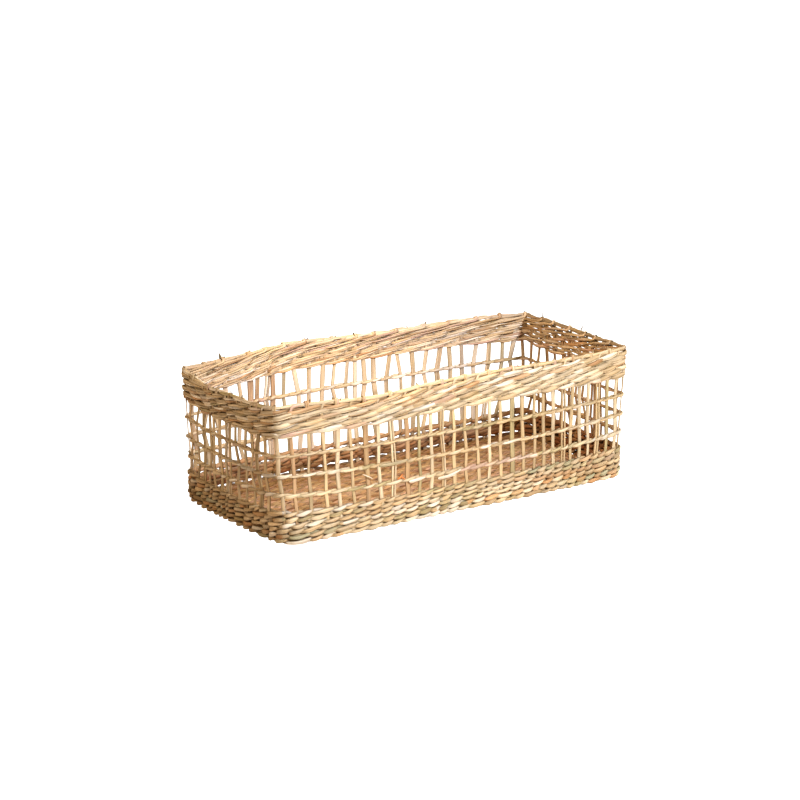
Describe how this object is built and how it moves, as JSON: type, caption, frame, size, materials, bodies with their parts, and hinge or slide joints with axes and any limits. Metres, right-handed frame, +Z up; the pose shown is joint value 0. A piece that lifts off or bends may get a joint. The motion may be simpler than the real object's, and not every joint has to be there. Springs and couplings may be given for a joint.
{
  "type": "bread basket",
  "caption": "Rectangular open-top bread basket woven from flat natural grass, with close bands at foot and rim, an open lattice between them and a folded border.",
  "frame": {"origin": "centre of the basket's outline, on the flat underside of the base mat", "axes": "+X along the long side, +Y across the short side, +Z up out of the open top"},
  "size_m": [0.3086, 0.1486, 0.1],
  "materials": {
    "straw": "dry matt twisted grass",
    "pale_straw": "dry flat grass with a slight sheen",
    "green_straw": "dry matt twisted grass, partly green",
    "floor_straw": "dry matt plaited grass"
  },
  "bodies": {
    "root": {"base_mat": "floor_straw", "stake_across_01": "pale_straw", "stake_across_02": "pale_straw", "stake_across_03": "pale_straw", "stake_across_04": "pale_straw", "stake_across_05": "pale_straw", "stake_across_06": "pale_straw", "stake_across_07": "pale_straw", "stake_across_08": "pale_straw", "stake_across_09": "pale_straw", "stake_across_10": "pale_straw", "stake_across_11": "pale_straw", "stake_across_12": "pale_straw", "stake_across_13": "pale_straw", "stake_across_14": "pale_straw", "stake_across_15": "pale_straw", "stake_across_16": "pale_straw", "stake_across_17": "pale_straw", "stake_across_18": "pale_straw", "stake_across_19": "pale_straw", "stake_across_20": "pale_straw", "stake_across_21": "pale_straw", "stake_across_22": "pale_straw", "stake_across_23": "pale_straw", "stake_across_24": "pale_straw", "stake_across_25": "pale_straw", "stake_across_26": "pale_straw", "stake_across_27": "pale_straw", "stake_across_28": "pale_straw", "stake_across_29": "pale_straw", "stake_across_30": "pale_straw", "stake_across_31": "pale_straw", "stake_along_01": "pale_straw", "stake_along_02": "pale_straw", "stake_along_03": "pale_straw", "stake_along_04": "pale_straw", "stake_along_05": "pale_straw", "stake_along_06": "pale_straw", "stake_along_07": "pale_straw", "stake_along_08": "pale_straw", "stake_along_09": "pale_straw", "stake_along_10": "pale_straw", "stake_along_11": "pale_straw", "stake_along_12": "pale_straw", "stake_along_13": "pale_straw", "foot_row_1": "green_straw", "foot_row_2": "green_straw", "lower_row_1": "straw", "lower_row_2": "straw", "lower_row_3": "straw", "lower_row_4": "straw", "open_row_1": "pale_straw", "open_row_2": "pale_straw", "open_row_3": "pale_straw", "upper_row_1": "straw", "upper_row_2": "straw", "upper_row_3": "straw", "upper_row_4": "straw", "upper_row_5": "straw", "rim_border": "pale_straw"}
  },
  "joints": []
}
